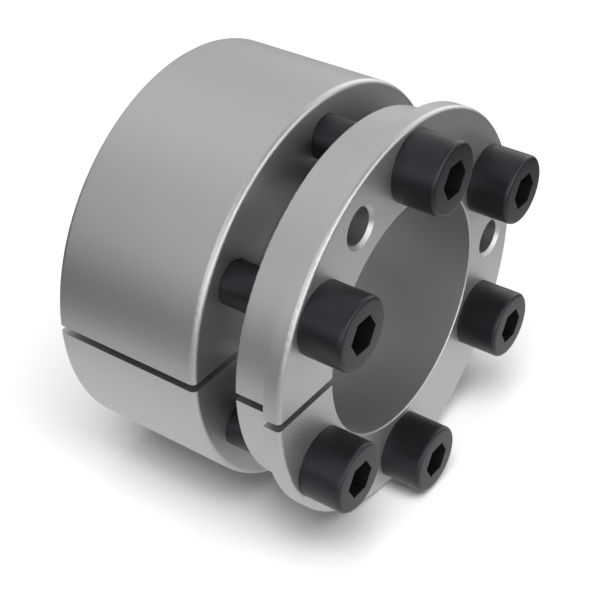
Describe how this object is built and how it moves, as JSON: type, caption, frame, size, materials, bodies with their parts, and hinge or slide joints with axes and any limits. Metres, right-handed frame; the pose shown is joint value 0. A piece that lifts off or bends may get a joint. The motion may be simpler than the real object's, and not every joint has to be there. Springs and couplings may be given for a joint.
{
  "type": "shaft locking assembly",
  "caption": "Keyless cone clamp: cap screws draw two slit steel rings together, so that a hub grips a plain shaft.",
  "frame": {"origin": "on the axis, in the plane of the outer ring's back face, on which the part stands", "axes": "+Z along the shaft towards the screw heads; the slits are on the -Y side; a screw is on +X"},
  "size_m": [0.075, 0.075, 0.0552],
  "materials": {
    "ring_steel": "fine turned, satin",
    "screw_steel": "blackened, satin"
  },
  "bodies": {
    "outer_ring": {"outer_ring": "ring_steel"},
    "inner_ring": {"inner_ring": "ring_steel"},
    "screw_1": {"screw_1": "screw_steel"},
    "screw_2": {"screw_2": "screw_steel"},
    "screw_3": {"screw_3": "screw_steel"},
    "screw_4": {"screw_4": "screw_steel"},
    "screw_5": {"screw_5": "screw_steel"},
    "screw_6": {"screw_6": "screw_steel"}
  },
  "joints": [
    {"name": "clamp_slide", "type": "slide", "parent": "outer_ring", "child": "inner_ring", "axis": [0, 0, 1], "range_m": [-0.002, 0.002]},
    {"name": "screw_1_turn", "type": "hinge", "parent": "inner_ring", "child": "screw_1", "pos_m": [0.03, 0, 0.0472], "axis": [0, 0, 1], "range_deg": [-576, 576]},
    {"name": "screw_2_turn", "type": "hinge", "parent": "inner_ring", "child": "screw_2", "pos_m": [0.015, 0.02598, 0.0472], "axis": [0, 0, 1], "range_deg": [-576, 576]},
    {"name": "screw_3_turn", "type": "hinge", "parent": "inner_ring", "child": "screw_3", "pos_m": [-0.015, 0.02598, 0.0472], "axis": [0, 0, 1], "range_deg": [-576, 576]},
    {"name": "screw_4_turn", "type": "hinge", "parent": "inner_ring", "child": "screw_4", "pos_m": [-0.03, 0, 0.0472], "axis": [0, 0, 1], "range_deg": [-576, 576]},
    {"name": "screw_5_turn", "type": "hinge", "parent": "inner_ring", "child": "screw_5", "pos_m": [-0.015, -0.02598, 0.0472], "axis": [0, 0, 1], "range_deg": [-576, 576]},
    {"name": "screw_6_turn", "type": "hinge", "parent": "inner_ring", "child": "screw_6", "pos_m": [0.015, -0.02598, 0.0472], "axis": [0, 0, 1], "range_deg": [-576, 576]}
  ],
  "couplings": [
    {"joint": "screw_1_turn", "follows": "clamp_slide", "rad_per_m": 5026.5},
    {"joint": "screw_2_turn", "follows": "clamp_slide", "rad_per_m": 5026.5},
    {"joint": "screw_3_turn", "follows": "clamp_slide", "rad_per_m": 5026.5},
    {"joint": "screw_4_turn", "follows": "clamp_slide", "rad_per_m": 5026.5},
    {"joint": "screw_5_turn", "follows": "clamp_slide", "rad_per_m": 5026.5},
    {"joint": "screw_6_turn", "follows": "clamp_slide", "rad_per_m": 5026.5}
  ]
}
